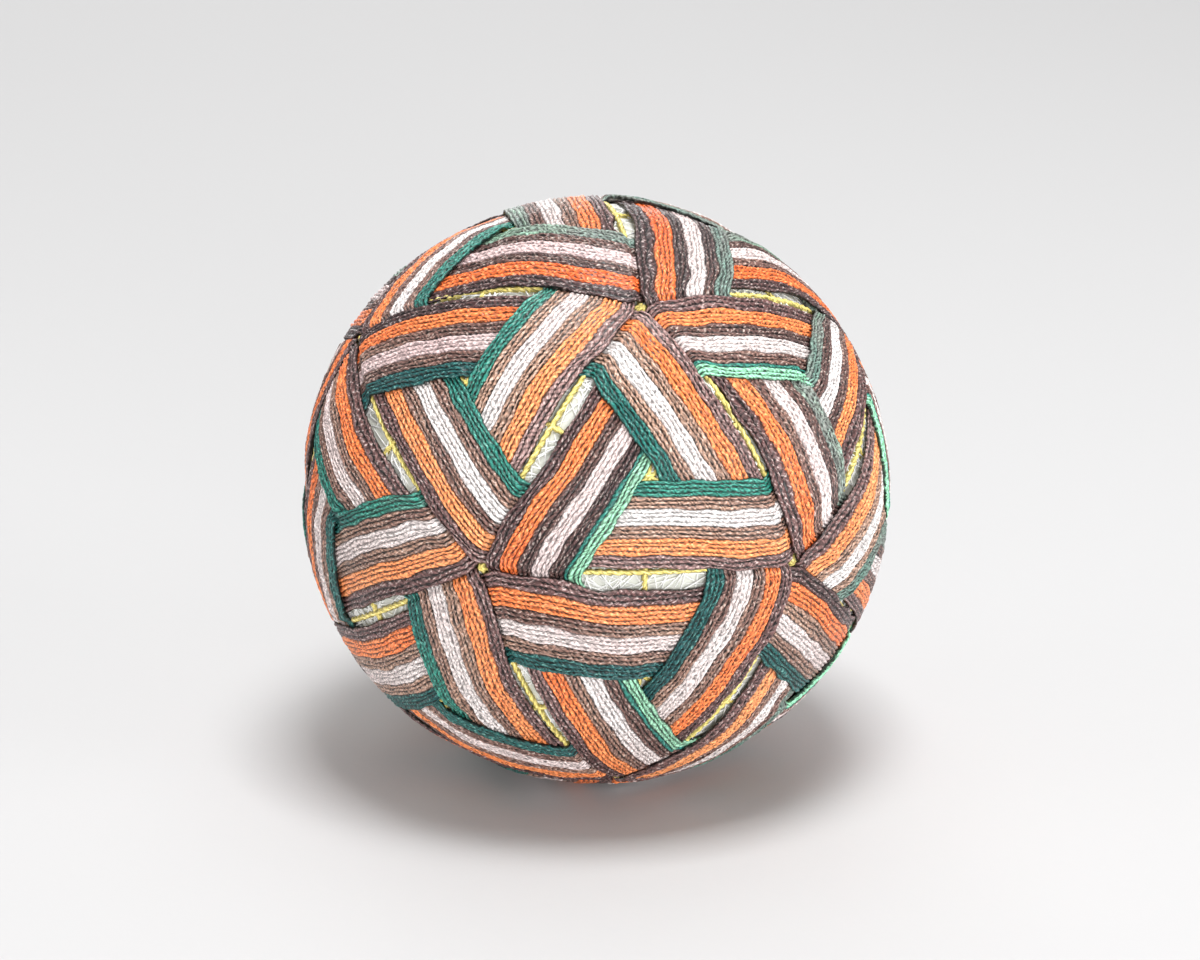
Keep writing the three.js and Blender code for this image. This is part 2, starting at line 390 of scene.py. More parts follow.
@dataclass(frozen=True)
class PearlCotton:
    """Mercerised two-ply cotton, space-dyed: a silky lustre, with bright glints painted as flecks on each
    ply.

    Its single fibres, about 0.015 mm across, are too fine to show, so they are drawn fibre_mm wide. Slow
    noise, wobble_mm across, turns the plies by up to wobble_turns and slides them by up to slide_mm in all.
    """

    name: str
    shades: tuple[str, ...]
    # Colour of the glints painted on the ply crests.
    painted_glint: str
    thread: TwoPly = TwoPly()
    roughness: float = 0.38
    ior: float = 1.53
    specular: float = 0.4
    gloss: float = 0.2
    gloss_roughness: float = 0.2
    fibre_mm: float = 0.19
    streak_mm: float = 0.8
    lay_degrees: float = 18.0
    streak_noise: tuple[float, float] = (0.3, 0.7)
    streak_shade: tuple[float, float] = (0.45, 1.55)
    wobble_mm: float = 1.3
    wobble_turns: float = 0.5
    slide_mm: float = 0.22
    relief: float = 0.75
    fibre_relief: float = 0.09
    groove_fall: float = 40.0
    # The next three values paint shade between the plies and a highlight on their crests, by multiplying the
    # colour.
    groove_shade: float = 0.03
    crest_highlight: float = 2.0
    crest_power: float = 2.1
    # The next three values set where the painted glints fall and how strongly.
    painted_glint_share: float = 0.6
    painted_glint_from: float = 0.6
    painted_glint_span: float = 0.1

    def build(self) -> bpy.types.Material:
        """Make the material: dyed colour from the dye attribute, with the twist of the plies as bump.

        The colour is darkened with depth between the plies and lightened toward their crests, by the height
        to a power:
        painted shade in the grooves and a painted highlight on the crests. Streaks of noise laid along the
        plies lighten single fibres to the colour of the painted glints.

        Returns:
            The new material.
        """
        nodes = Nodes(self.name)
        dye = nodes.add("ShaderNodeAttribute", attribute_name="dye", attribute_type="GEOMETRY")
        colour = nodes.add("ShaderNodeValToRGB", {0: dye.outputs["Fac"]})
        stops = colour.color_ramp.elements
        stops.remove(stops[1])
        stops[0].color = hex_colour(self.shades[0])
        for k, code in enumerate(self.shades[1:], 1):
            stops.new(k / (len(self.shades) - 1)).color = hex_colour(code)

        place = nodes.add("ShaderNodeUVMap", uv_map="thread")
        stretch = nodes.add("ShaderNodeMapping", {
            "Vector": place, "Rotation": (0.0, 0.0, math.radians(self.lay_degrees)),
            "Scale": (self.streak_mm, self.fibre_mm, 1.0)}, vector_type="TEXTURE")
        fibre = nodes.add("ShaderNodeTexNoise", {
            "Vector": stretch, "Scale": 1.0, "Detail": 2.0, "Roughness": 0.6}, noise_dimensions="2D")
        low, high = self.streak_noise
        dark, light = self.streak_shade
        streak = nodes.add("ShaderNodeMapRange", {
            "Value": fibre, "From Min": low, "From Max": high, "To Min": dark, "To Max": light})

        height = self._twist(nodes, place)
        # Painted shade and highlight: the colour is darkened in the grooves between the plies and lightened
        # on their crests.
        depth = nodes.add("ShaderNodeMapRange", {
            "Value": height, "From Min": self.thread.groove, "From Max": self.thread.crest})
        steep = nodes.add(MATH, {0: depth, 1: self.crest_power}, operation="POWER")
        span = self.crest_highlight - self.groove_shade
        groove = nodes.add(MATH, {0: steep, 1: span, 2: self.groove_shade}, operation="MULTIPLY_ADD")
        shade = nodes.add(MATH, {0: streak, 1: groove}, operation="MULTIPLY")
        shaded_colour = nodes.add("ShaderNodeVectorMath", {0: colour, 1: shade}, operation="MULTIPLY")
        # Painted glints: fibres near the ply crests are mixed toward the light glint colour.
        spark = nodes.add("ShaderNodeMapRange", {
            "Value": fibre, "From Min": self.painted_glint_from, "From Max": self.painted_glint_from + self.painted_glint_span,
            "To Max": self.painted_glint_share})
        share = nodes.add(MATH, {0: spark, 1: steep}, operation="MULTIPLY")
        lit = nodes.add("ShaderNodeMixRGB", {"Fac": share, "Color1": shaded_colour, "Color2": hex_colour(self.painted_glint)})
        rough = nodes.add(MATH, {0: fibre, 1: self.fibre_relief, 2: height}, operation="MULTIPLY_ADD")
        bump = nodes.add("ShaderNodeBump", {"Height": rough, "Strength": self.relief, "Distance": MM})
        nodes.feed(nodes.shader, {
            "Base Color": lit, "Normal": bump, "Roughness": self.roughness, "IOR": self.ior,
            "Specular IOR Level": self.specular, "Coat Weight": self.gloss,
            "Coat Roughness": self.gloss_roughness, "Coat IOR": self.ior})
        return nodes.material

    def _twist(self, nodes: Nodes, place: bpy.types.Node) -> bpy.types.Node:
        """Height of the two plies, in millimetres, by the same formula as TwoPly.top.

        Slow noise shifts the turn of the plies and slides them sideways, as hand-laid thread does.

        Args:
            nodes: the material's tree.
            place: the node that gives the run along and across the thread.

        Returns:
            The node that gives the height.
        """
        offset, square = self.thread.ply_offset, self.thread.ply_radius ** 2
        reach = (self.wobble_turns, self.slide_mm, 0.0)
        half = (self.wobble_turns / 2, self.slide_mm / 2, 0.0)
        uneven = nodes.add("ShaderNodeTexNoise", {
            "Vector": place, "Scale": 1 / self.wobble_mm, "Detail": 1.0}, noise_dimensions="2D")
        ply = nodes.add("ShaderNodeUVMap", uv_map="ply")
        moved = nodes.add("ShaderNodeVectorMath", {0: uneven.outputs["Color"], 1: reach, 2: ply},
                          operation="MULTIPLY_ADD")
        centred = nodes.add("ShaderNodeVectorMath", {0: moved, 1: half}, operation="SUBTRACT")
        axes = nodes.add("ShaderNodeSeparateXYZ", {0: centred})
        phase = nodes.add(MATH, {0: axes.outputs["X"], 1: TURN}, operation="MULTIPLY")
        cosine = nodes.add(MATH, {0: phase}, operation="COSINE")
        sine = nodes.add(MATH, {0: phase}, operation="SINE")
        sideways = nodes.add(MATH, {0: cosine, 1: offset}, operation="MULTIPLY")
        upward = nodes.add(MATH, {0: sine, 1: offset}, operation="MULTIPLY")
        height = self.thread.groove
        for shift, rise in (("SUBTRACT", "ADD"), ("ADD", "SUBTRACT")):
            beside = nodes.add(MATH, {0: axes.outputs["Y"], 1: sideways}, operation=shift)
            apart = nodes.add(MATH, {0: beside, 1: beside}, operation="MULTIPLY")
            inside = nodes.add(MATH, {0: square, 1: apart}, operation="SUBTRACT")
            within = nodes.add(MATH, {0: inside, 1: 0.0}, operation="MAXIMUM")
            beyond = nodes.add(MATH, {0: inside, 1: 0.0}, operation="MINIMUM")
            arch = nodes.add(MATH, {0: within}, operation="SQRT")
            flank = nodes.add(MATH, {0: beyond, 1: self.groove_fall, 2: arch}, operation="MULTIPLY_ADD")
            level = nodes.add(MATH, {0: flank, 1: upward}, operation=rise)
            height = nodes.add(MATH, {0: level, 1: height}, operation="MAXIMUM")
        return height


@dataclass(frozen=True)
class WindingThread:
    """Fine matt polyester sewing thread, wound by hand: soft white, with a faint cool shade painted on the
    core between turns.

    Its fibres are too fine to show, so they are drawn as tufts of tuft_mm.
    """

    name: str = "white_polyester_winding"
    # Greyer colour of the core beneath the turns: painted shade between them.
    painted_shade_ground: str = "dbdcd3"
    turn: str = "fffffd"
    roughness: float = 0.75
    ior: float = 1.55
    sheen: float = 0.2
    tuft_mm: float = 0.5
    tuft_depth_mm: float = 0.1
    relief: float = 0.4

    def build(self) -> bpy.types.Material:
        """Make the material: white turns on a core painted greyer as the shade between them, by the attribute
        of dyeing and painted shade, with a soft sheen.

        Returns:
            The new material.
        """
        nodes = Nodes(self.name)
        place = nodes.add("ShaderNodeTexCoord").outputs["Object"]
        tuft = nodes.add("ShaderNodeTexNoise", {
            "Vector": place, "Scale": 1 / (self.tuft_mm * MM), "Detail": 2.0})
        dye = nodes.add("ShaderNodeAttribute", attribute_name="dye", attribute_type="GEOMETRY")
        colour = nodes.add("ShaderNodeMixRGB", {
            "Fac": dye.outputs["Fac"], "Color1": hex_colour(self.painted_shade_ground), "Color2": hex_colour(self.turn)})
        bump = nodes.add("ShaderNodeBump", {
            "Height": tuft, "Strength": self.relief, "Distance": self.tuft_depth_mm * MM})
        nodes.feed(nodes.shader, {"Base Color": colour, "Normal": bump, "Roughness": self.roughness,
                                  "IOR": self.ior, "Sheen Weight": self.sheen})
        return nodes.material


@dataclass(frozen=True)
class StudioPaper:
    """Matt pale paper for the floor: one even tone. Its tooth is drawn coarser than real so that it shows."""

    name: str = "matt_pale_paper"
    tone: str = "cdcdce"
    roughness: float = 0.9
    tooth_mm: float = 1.111
    tooth_depth_mm: float = 0.3
    relief: float = 0.08

    def build(self) -> bpy.types.Material:
        """Make the material with a faint tooth.

        Returns:
            The new material.
        """
        nodes = Nodes(self.name)
        place = nodes.add("ShaderNodeTexCoord").outputs["Object"]
        tooth = nodes.add("ShaderNodeTexNoise", {"Vector": place, "Scale": 1 / (self.tooth_mm * MM)})
        bump = nodes.add("ShaderNodeBump", {
            "Height": tooth, "Strength": self.relief, "Distance": self.tooth_depth_mm * MM})
        tone = hex_colour(self.tone)
        nodes.feed(nodes.shader, {"Base Color": tone, "Roughness": self.roughness, "Normal": bump})
        return nodes.material


@dataclass
class ThreadPalette:
    """The dyed threads, each made once."""

    # Each thread's third value is the colour of its painted glints, and its shade values paint shade between
    # the plies and a highlight on their crests.
    dark_brown: PearlCotton = PearlCotton(
        "pearl_cotton_mauve_brown", ("412c2d", "664745", "957672"), "f2e4de",
        crest_highlight=1.85, painted_glint_share=0.7, painted_glint_from=0.58)
    orange: PearlCotton = PearlCotton(
        "pearl_cotton_orange", ("e7642b", "f08247", "f5a068"), "ffdca4",
        groove_shade=0.14, crest_highlight=1.55, crest_power=1.6)
    brown: PearlCotton = PearlCotton(
        "pearl_cotton_taupe", ("412c2d", "74544c", "a5826f"), "f2e6da",
        crest_highlight=1.85, painted_glint_share=0.7, painted_glint_from=0.58)
    white: PearlCotton = PearlCotton(
        "pearl_cotton_pinkish_white", ("dfc2c1", "ecdad7", "f6f0ee"), "ffffff",
        groove_shade=0.34, crest_highlight=1.18, crest_power=1.3)
    green: PearlCotton = PearlCotton(
        "pearl_cotton_sea_green", ("10494a", "1a5e58", "2a7d6d", "747872", "8fd3ac"), "a5d6c8",
        groove_shade=0.1, crest_highlight=1.85)
    made: dict[Stripe, bpy.types.Material] = field(default_factory=dict)

    def slots(self) -> list[bpy.types.Material]:
        """Give the materials in the order of the stripes, made on the first call.

        Returns:
            One material for each stripe.
        """
        if not self.made:
            brown = self.brown.build()
            self.made = {
                Stripe.OUTER_BROWN: self.dark_brown.build(),
                Stripe.ORANGE: self.orange.build(),
                Stripe.BROWN: brown,
                Stripe.WHITE: self.white.build(),
                Stripe.INNER_BROWN: brown,
                Stripe.GREEN: self.green.build(),
            }
        return [self.made[stripe] for stripe in Stripe]


@dataclass
class MeshParts:
    """Arrays of one mesh: points, four-cornered faces and what each face and corner carries.

    The corners of a thread carry how it is dyed, which on the core between the turns is painted shade
    instead, the run along it and across it in millimetres (uv), and the turn of its plies with the distance
    from its middle line in millimetres (ply).
    """

    points: np.ndarray
    quads: np.ndarray
    slots: np.ndarray | None = None
    dye: np.ndarray | None = None
    uv: np.ndarray | None = None
    ply: np.ndarray | None = None

    def __post_init__(self) -> None:
        """Fill what a plain mesh leaves out: the first slot, a middle dye and no run."""
        count = len(self.quads)
        self.slots = np.zeros(count) if self.slots is None else self.slots
        self.dye = np.full((count, 4), 0.5) if self.dye is None else self.dye
        self.uv = np.zeros((count, 4, 2)) if self.uv is None else self.uv
        self.ply = np.zeros((count, 4, 2)) if self.ply is None else self.ply

    @staticmethod
    def joined(parts: list["MeshParts"]) -> "MeshParts":
        """Put several meshes in one.

        Args:
            parts: the meshes.

        Returns:
            One mesh with all their faces.
        """
        starts = np.cumsum([0] + [len(p.points) for p in parts[:-1]])
        carried = [np.concatenate([getattr(p, key) for p in parts]) for key in ("slots", "dye", "uv", "ply")]
        return MeshParts(np.concatenate([p.points for p in parts]),
                         np.concatenate([p.quads + s for p, s in zip(parts, starts)]), *carried)

    def make(self, name: str, materials: list[bpy.types.Material]) -> bpy.types.Object:
        """Put the arrays into a smooth-shaded object at the origin.

        Args:
            name: name of the piece.
            materials: its material slots.

        Returns:
            The new object, linked to the scene.
        """
        mesh = bpy.data.meshes.new(name)
        mesh.vertices.add(len(self.points))
        mesh.vertices.foreach_set("co", self.points.astype(np.float32).ravel())
        mesh.loops.add(self.quads.size)
        mesh.loops.foreach_set("vertex_index", self.quads.astype(np.int32).ravel())
        mesh.polygons.add(len(self.quads))
        mesh.polygons.foreach_set("loop_start", np.arange(0, self.quads.size, 4, dtype=np.int32))
        for material in materials:
            mesh.materials.append(material)
        mesh.polygons.foreach_set("material_index", self.slots.astype(np.int32))
        mesh.polygons.foreach_set("use_smooth", np.ones(len(self.quads), dtype=bool))
        for layer, values in (("thread", self.uv), ("ply", self.ply)):
            mesh.uv_layers.new(name=layer).data.foreach_set("uv", values.astype(np.float32).ravel())
        mesh.attributes.new("dye", "FLOAT", "CORNER").data.foreach_set(
            "value", self.dye.astype(np.float32).ravel())
        mesh.update(calc_edges=True)
        piece = bpy.data.objects.new(name, mesh)
        bpy.context.scene.collection.objects.link(piece)
        return piece


@dataclass(frozen=True)
class SideDyeAndShade:
    """A side of a pentagon whose colour shifts, partly by dyeing and partly as painted light and shade. It is
    named for the neighbouring pole it starts from.
    """

    side: str
    shift: float
    green: float


@dataclass(frozen=True)
class BandDyes:
    """How one pentagon's thread took the dye: each value runs from 0 to 1 along its thread's shades."""

    green: float
    green_drift: float = 0.08
    first_green: float | None = None
    brown: float = 0.55
    outer_brown: float = 0.4
    orange: float = 0.5
    white: float = 0.55
    sides: tuple[SideDyeAndShade, ...] = ()


@dataclass(frozen=True)
class Gap:
    """Width of the gap along the line between two poles, as a share of the widest."""

    first: str
    second: str
    width: float


@dataclass
class GapMap:
    """How far apart the bands lie along each line between neighbouring poles."""

    seen: tuple[Gap, ...] = (
        Gap("front_left", "front_right", 1.05),
        Gap("crown", "front_left", 0.95),
        Gap("front_left", "low_front", 0.68),
        Gap("front_right", "low_front", 1.0),
        Gap("crown", "front_right", 0.5),
        Gap("left", "front_left", 0.65),
        Gap("front_left", "low_left", 0.8),
        Gap("front_right", "right", 0.55),
    )
    usual: float = 0.75

    def width(self, first: str, second: str) -> float:
        """Share of the widest gap along the line between two poles."""
        found = [gap.width for gap in self.seen if {gap.first, gap.second} == {first, second}]
        return found[0] if found else self.usual


@dataclass(frozen=True)
class Slip:
    """A side of a band that was laid off its even line, in millimetres toward the band's own pole."""

    band: str
    side: str
    start: float
    end: float


@dataclass
class SlipMap:
    """The sides that lie off their even lines. A side is named for the neighbouring pole it starts from."""

    seen: tuple[Slip, ...] = (
        Slip("crown", "front_right", 1.1, 1.4),
        Slip("front_left", "low_front", -0.9, -0.6),
        Slip("front_left", "front_right", -0.8, 0.5),
        Slip("front_right", "right", 0.7, 1.0),
        Slip("left", "low_left", 0.6, 0.9),
        Slip("left", "front_left", 0.1, 0.8),
        Slip("right", "top_back", 0.9, 0.9),
        Slip("right", "crown", 0.4, 1.5),
        Slip("low_front", "low_right", -2.4, 0.3),
        Slip("low_front", "front_right", 0.5, 0.4),
        Slip("top_back", "left", -0.8, 0.0),
        Slip("low_left", "front_left", 0.9, 1.8),
        Slip("low_right", "right", 1.1, 1.5),
        Slip("low_right", "front_right", 1.2, 1.2),
    )

    def of(self, band: str, side: str) -> tuple[float, float]:
        """Millimetres at the start and the end of a side."""
        found = [(slip.start, slip.end) for slip in self.seen if (slip.band, slip.side) == (band, side)]
        return found[0] if found else (0.0, 0.0)


@dataclass(frozen=True)
class Steps:
    """Steps round a pentagon: the side each is on, its share of that side, and its share of the loop."""

    side: np.ndarray
    along: np.ndarray
    turn: np.ndarray


@dataclass
class PentagonBand:
    """A band of thread rows sewn in a pentagon round one pole, woven over and under its neighbours.

    Across the band, shares are of the arc from a neighbouring pole to the band's own pole. Along a side
    they are of its length. Each side starts beneath the band that crosses it and ends above another.
    """

    name: str
    poles: PoleMap
    dyes: BandDyes
    seed: int
    sizes: BallSizes = BallSizes()
    thread: TwoPly = TwoPly()
    gaps: GapMap = field(default_factory=GapMap)
    slips: SlipMap = field(default_factory=SlipMap)
    rows: tuple[int, ...] = (3, 4, 3, 4, 3, 4)
    outer_share: float = 0.027
    inner_share: float = 0.304
    clear_share: float = 0.005
    hidden: tuple[float, float] = (0.05, 0.31)
    hidden_steps: int = 4
    open_steps: tuple[int, int] = (7, 93)
    corner_share: float = 0.012
    corner_stretch: float = 0.12
    round_steps: int = 4
    end_corner: float = 0.05
    end_reach: float = 1.12
    end_from: float = 0.6
    end_span: float = 0.25
    edge_slip: float = 0.35
    edge_wander: float = 0.22
    tuck: float = 0.25
    cover_share: float = 0.5
    under_inset: float = 0.35
    under_mm: float = -0.26
    dye_spread: float = 0.16
    slow_twist: Waves = Waves(0.9, 4, 36)
    quick_twist: Waves = Waves(0.6, 37, 110)
    wander: Waves = Waves(0.15, 3, 40)
    row_lift: Waves = Waves(0.05, 3, 40)
    sink: Waves = Waves(0.05, 3, 8)
    slow_dye: Waves = Waves(0.8, 1, 4)
    quick_dye: Waves = Waves(0.35, 4, 20)

    @property
    def total(self) -> int:
        """Number of rows."""
        return sum(self.rows)

    @property
    def pole(self) -> np.ndarray:
        """Unit vector of the band's own pole."""
        return self.poles.places[self.name]

    @property
    def sides(self) -> list[tuple[str, str]]:
        """Poles at the start and the end of each side."""
        return self.poles.sides_of(self.name)

    @property
    def share_mm(self) -> float:
        """Length of the arc between two neighbouring poles."""
        return math.radians(self.poles.spacing) * self.sizes.high_row

    @property
    def pitch(self) -> float:
        """Width of one row."""
        return (self.inner_share - self.outer_share) * self.share_mm / self.total

    def _steps(self) -> Steps:
        """Steps round the loop: close together where a side shows, wide apart where it is crossed.

        Returns:
            The steps of all sides.
        """
        near, far = self.hidden
        first, last = self.open_steps
        stops = np.concatenate([
            np.linspace(0, near, first, endpoint=False),
            np.linspace(near, far, self.hidden_steps, endpoint=False),
            np.linspace(far, 1, last, endpoint=False),
        ])
        side = np.repeat(np.arange(SIDES), len(stops))
        along = np.tile(stops, SIDES)
        return Steps(side, along, (side + along) / SIDES)

    def _slip(self, steps: Steps) -> np.ndarray:
        """Slip of each step as a share: from a side's start to its end, and none at the corners.

        Args:
            steps: the steps round the pentagon.

        Returns:
            Shares of the arc between poles.
        """
        far = self.hidden[1]
        start, end = np.array([self.slips.of(self.name, a) for a, _ in self.sides])[steps.side].T
        slide = start + (end - start) * (steps.along - far) / (1 - far)
        slide = np.where(steps.along < far, start, slide)
        near = np.minimum(steps.along, 1 - steps.along)
        return slide * ease(near / self.corner_stretch) / self.share_mm

    def _spread(self, columns: np.ndarray, slip: np.ndarray) -> np.ndarray:
        """Share of the slip that each column takes.

        Where a side slips toward its own pole the rows of its first stripe spread out to fill the room, and
        the outer edge moves by edge_slip only. Elsewhere the whole side moves.

        Args:
            columns: places across the band in rows, steps by columns.
            slip: slip of each step.

        Returns:
            Shares from 0 to 1, steps by columns.
        """
        full = self.edge_slip + (1 - self.edge_slip) * ease(columns / (self.rows[0] + 1))
        return np.where(slip[:, None] > 0, full, 1.0)

    def _weave(self, points: np.ndarray, start: np.ndarray, end: np.ndarray,
               side: np.ndarray) -> tuple[np.ndarray, np.ndarray]:
        """Lift of each point from 0 beneath a crossing band to 1 above one, and how much it is covered.

        Angles from the edges of the two crossing bands give shares of the open stretch between them,
        and the lift eases along that share. At a corner it drops from 1 to 0 across the gap there.

        Args:
            points: unit vectors, steps by columns by three.
            start: pole at the start of each step's side, steps by three.
            end: pole at the end of each step's side, steps by three.
            side: number of each step's side.

        Returns:
            Lift and cover, steps by columns.
        """
        pole = np.broadcast_to(self.pole, start.shape)
        gap = np.array([self.gaps.width(self.name, a) for a, _ in self.sides])
        over = np.array([self.slips.of(b, self.name)[1] for _, b in self.sides])[side] / self.share_mm
        outer_near = self.outer_share * gap[side] * (1 - self.end_reach) - self.clear_share
        outer_near = outer_near + over * np.where(over > 0, self.edge_slip, 1.0)
        outer_far = self.outer_share * gap[(side + 1) % SIDES] - self.clear_share
        inner = self.inner_share + self.clear_share

        def angle(a: np.ndarray, b: np.ndarray) -> np.ndarray:
            """Signed angle of each point from the great circle through two points."""
            return np.arcsin(np.clip(np.einsum("ijk,ik->ij", points, circle_normal(a, b)), -1, 1))

        def from_start(share: np.ndarray) -> np.ndarray:
            """Angle past the line a share of the way in from the pole line at the start."""
            return angle(arc(pole, end, share), arc(start, end, share))

        def from_end(share: np.ndarray | float) -> np.ndarray:
            """Angle short of the line a share of the way in from the pole line at the end."""
            return angle(arc(end, start, share), arc(pole, start, share))

        outer_start, outer_end = from_start(outer_near), from_end(outer_far)
        inner_start = np.maximum(from_start(inner + over), 0)
        inner_end = np.maximum(from_end(inner), 0)
        line_start = np.maximum(angle(pole, start), 0)
        line_end = np.maximum(angle(end, pole), 0)
        open_share = inner_start / np.maximum(inner_start + inner_end, TINY)
        edge = line_start / np.maximum(line_start - outer_start, TINY)
        drop = line_end / np.maximum(line_end - outer_end, TINY)
        lift = np.where(outer_start < 0, ease(self.tuck) * (1 - edge), ease(open_share))
        lift = np.where(outer_end < 0, ease(self.tuck + (1 - self.tuck) * drop), lift)
        cover = np.where(outer_start < 0, edge, 1 - ease(open_share / self.cover_share))
        return lift, np.where(outer_end < 0, 0, cover)

    def _runs(self, steps: Steps) -> tuple[np.ndarray, np.ndarray]:
        """Distance along each row from the band's first corner, and the length of its whole loop.

        A row's side is as long as the arc between its ends, at the height of the upper rows.

        Args:
            steps: the steps round the pentagon.

        Returns:
            Millimetres, steps by rows, and millimetres for each row.
        """
        width = self.inner_share - self.outer_share
        middle = self.outer_share + width * (np.arange(self.total) + 0.5) / self.total
        ends = [[arc(self.poles.places[name], self.pole, middle) for name in side] for side in self.sides]
        lengths = np.stack([np.arccos((a * b).sum(-1)) for a, b in ends]) * self.sizes.high_row
        before = np.cumsum(lengths, 0) - lengths
        return before[steps.side] + lengths[steps.side] * steps.along[:, None], lengths.sum(0)

    def _relief(self, rng: np.random.Generator, turn: np.ndarray,
                phase: np.ndarray) -> tuple[np.ndarray, np.ndarray]:
        """Columns of the band and how high each stands.

        Each row has a column at its edge and two within it, a third of the row apart, at the height of a
        two-ply thread. A shared edge takes the higher of its two threads, the band's own edges reach as far
        as a ply does, and two columns close the band underneath.

        Args:
            rng: seeded source of chance.
            turn: place round the loop from 0 to 1.
            phase: turn of the plies, steps by rows.

        Returns:
            Places across the band in rows and heights in millimetres, steps by columns.
        """
        total, pitch = self.total, self.pitch
        wave = self.wander.draw(rng, turn, total + 1)
        wave[:, [0, total]] *= self.edge_wander / self.wander.size
        bounds = np.arange(total + 1) + wave
        inside = np.array([1 / 3, 2 / 3])
        within = bounds[:, :-1, None] + inside * np.diff(bounds, axis=1)[..., None]

        third = self.thread.top((inside - 0.5) * pitch, phase[..., None])
        third = third + self.row_lift.draw(rng, turn, total)[..., None]
        edge_low = self.thread.top(np.array(-pitch / 2), phase)
        edge_high = self.thread.top(np.array(pitch / 2), phase)
        shared = np.maximum(edge_low[:, 1:], edge_high[:, :-1])
        reach = self.thread.ply_radius + self.thread.ply_offset * np.abs(np.cos(phase))
        outside = -self.thread.ply_offset * np.sin(phase) * np.sign(np.cos(phase))
        edges = np.concatenate([outside[:, :1], shared, -outside[:, -1:]], 1)

        def across(edge: np.ndarray, inner: np.ndarray, under: list[float]) -> np.ndarray:
            """Values at the edges of the rows, within them and underneath, in order of the columns."""
            rows = np.concatenate([edge[:, :-1, None], inner], 2).reshape(len(turn), -1)
            return np.concatenate([rows, edge[:, -1:], np.broadcast_to(under, (len(turn), 2))], 1)

        columns = across(bounds, within, [total - self.under_inset, self.under_inset])
        columns[:, 0] = bounds[:, 0] + 0.5 - reach[:, 0] / pitch
        columns[:, ROW_COLUMNS * total] = bounds[:, -1] - 0.5 + reach[:, -1] / pitch
        return columns, across(edges, third, [self.under_mm, self.under_mm])

    def _lay(self, rng: np.random.Generator, columns: np.ndarray,
             steps: Steps) -> tuple[np.ndarray, np.ndarray]:
        """Lay the columns on the ball.

        A column lies the same share of the way to the pole at both ends of a side, on the arc between
        them. The outer edge starts beside the pole line and reaches over it toward the end of the side.

        Args:
            rng: seeded source of chance.
            columns: places across the band in rows, steps by columns.
            steps: the steps round the pentagon.

        Returns:
            Unit vectors and the radius of the threads' middles, steps by columns.
        """
        along, side = steps.along, steps.side
        start = np.array([self.poles.places[a] for a, _ in self.sides])[side]
        end = np.array([self.poles.places[b] for _, b in self.sides])[side]
        width = np.array([self.gaps.width(a, b) for a, b in self.sides])[side]
        corner = 1 - ease(np.minimum(along / self.corner_stretch, (1 - along) / self.end_corner))
        edge = self.outer_share * width * (1 - self.end_reach * ease((along - self.end_from) / self.end_span))
        outer = (edge + (self.corner_share - edge) * corner)[:, None]
        share = outer + (self.inner_share - outer) * columns / self.total
        slip = self._slip(steps)
        share += slip[:, None] * self._spread(columns, slip)
        first = arc(start[:, None], self.pole[None, None], share)
        second = arc(end[:, None], self.pole[None, None], share)
        points = self._rounded(arc(first, second, np.broadcast_to(along[:, None], share.shape)), along)
        lift, cover = self._weave(points, start, end, side)
        step = self.sizes.high_row - self.sizes.low_row
        radius = self.sizes.low_row + step * lift + self.sink.draw(rng, steps.turn, 1)
        return points, np.minimum(radius, self.sizes.floor_reach(points) - self.thread.crest - step * cover)

    def _rounded(self, points: np.ndarray, along: np.ndarray) -> np.ndarray:
        """Round the corners of the rows: near a corner each point becomes the mean of those beside it.

        Args:
            points: unit vectors, steps by columns by three.
            along: share of the side at each step.

        Returns:
            Unit vectors with rounded corners.
        """
        reach = range(-self.round_steps, self.round_steps + 1)
        mean = sum(np.roll(points, k, 0) for k in reach)
        near = 1 - ease(np.minimum(along, 1 - along) / self.hidden[0])
        return unit(points + near[:, None, None] * (mean / len(reach) - points))

    def _ply(self, phase: np.ndarray) -> np.ndarray:
        """Turn of the plies and distance from the row's middle at each corner.

        The last edge and the two columns underneath keep the distance of a row's edge.

        Args:
            phase: turn of the plies at each step and column, with the first step again at the end.

        Returns:
            Turns and millimetres, faces by corners by two.
        """
        local = np.tile([-0.5, -1 / 6, 1 / 6], self.total)
        last = np.full(3, 0.5)
        near = np.concatenate([local, last]) * self.pitch
        far = np.concatenate([local + 1 / 3, last]) * self.pitch
        turn = step_corners(phase) / TURN
        middle = np.broadcast_to(column_corners(near, far), turn.shape)
        return np.stack([turn, middle], -1).reshape(-1, 4, 2)

    def _dye(self, rng: np.random.Generator, turn: np.ndarray, stripe: np.ndarray) -> np.ndarray:
        """Place of each row along its thread's shades, drifting slowly round the pentagon.

        A side's own shift, partly of dyeing and partly of painted light and shade, takes over beneath the
        band that crosses its start.

        Args:
            rng: seeded source of chance.
            turn: place round the loop from 0 to 1.
            stripe: stripe of each row.

        Returns:
            Values from 0 to 1, steps by rows.
        """
        base = {
            Stripe.OUTER_BROWN: self.dyes.outer_brown,
            Stripe.ORANGE: self.dyes.orange,
            Stripe.BROWN: self.dyes.brown,
            Stripe.WHITE: self.dyes.white,
            Stripe.INNER_BROWN: self.dyes.brown,
            Stripe.GREEN: self.dyes.green,
        }
        green = stripe == Stripe.GREEN.value
        value = np.array([base[Stripe(s)] for s in stripe])
        if self.dyes.first_green is not None:
            value[np.argmax(green)] = self.dyes.first_green
        names = self.poles.ring_of(self.name)
        shift = np.zeros((SIDES, len(stripe)))
